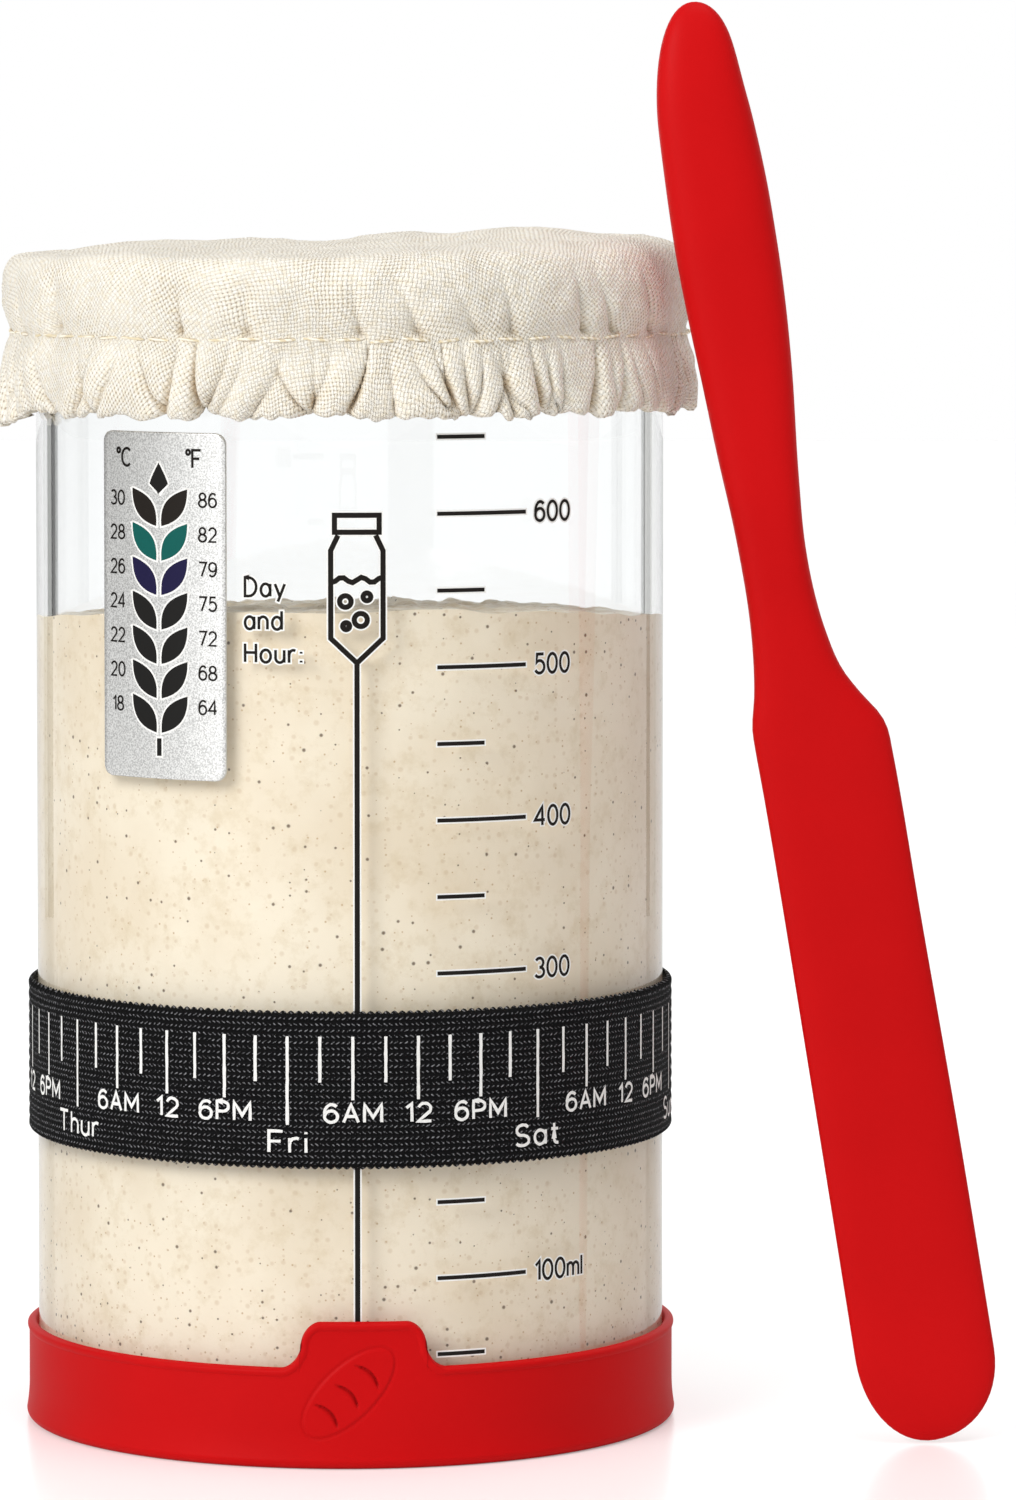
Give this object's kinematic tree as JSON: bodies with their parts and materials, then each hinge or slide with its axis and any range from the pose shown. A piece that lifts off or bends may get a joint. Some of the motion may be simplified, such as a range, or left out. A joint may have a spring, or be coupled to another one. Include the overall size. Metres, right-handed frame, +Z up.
{
  "type": "sourdough starter jar",
  "caption": "Straight glass jar of dough starter with volume marks, silicone foot sleeve, thermometer strip, turning date band, elastic cloth cover and spatula.",
  "frame": {"origin": "centre of the jar's resting face, on the surface that it stands on", "axes": "+Z up along the jar's axis, -Y towards the front with the volume marks, +X towards the spatula"},
  "size_m": [0.132, 0.0923, 0.1909],
  "materials": {
    "silicone": "satin",
    "glass": "clear, polished",
    "dough": "moist, finely bubbled",
    "adhesive": "clear glue film",
    "strip_film": "silver satin film",
    "crystal_film": "smooth film",
    "elastic_band": "ribbed woven elastic",
    "band_thread": "thread",
    "cloth": "plain weave",
    "hem_elastic": "braided elastic",
    "cloth_thread": "thread",
    "core": "moulded nylon"
  },
  "bodies": {
    "base": {"base_sleeve": "silicone"},
    "jar": {"glass_jar": "glass", "starter": "dough", "thermometer_adhesive": "adhesive", "thermometer_strip": "strip_film", "thermometer_leaves": "crystal_film"},
    "date_band": {"date_band": "elastic_band", "band_lap": "elastic_band", "band_stitching": "band_thread"},
    "cover": {"cover_cloth": "cloth", "cover_elastic": "hem_elastic", "cover_stitching": "cloth_thread"},
    "spatula": {"spatula_skin": "silicone", "spatula_core": "core"}
  },
  "joints": [
    {"name": "jar_lift", "type": "slide", "parent": "base", "child": "jar", "axis": [0, 0, 1], "range_m": [0, 0.03]},
    {"name": "band_turn", "type": "hinge", "parent": "jar", "child": "date_band", "pos_m": [0, 0, 0.0497], "axis": [0, 0, 1], "continuous": true},
    {"name": "cover_lift", "type": "slide", "parent": "jar", "child": "cover", "axis": [0, 0, 1], "range_m": [0, 0.05]},
    {"name": "spatula_lift", "type": "slide", "parent": "base", "child": "spatula", "axis": [0.2588, 0, 0.9659], "range_m": [0, 0.06]}
  ]
}
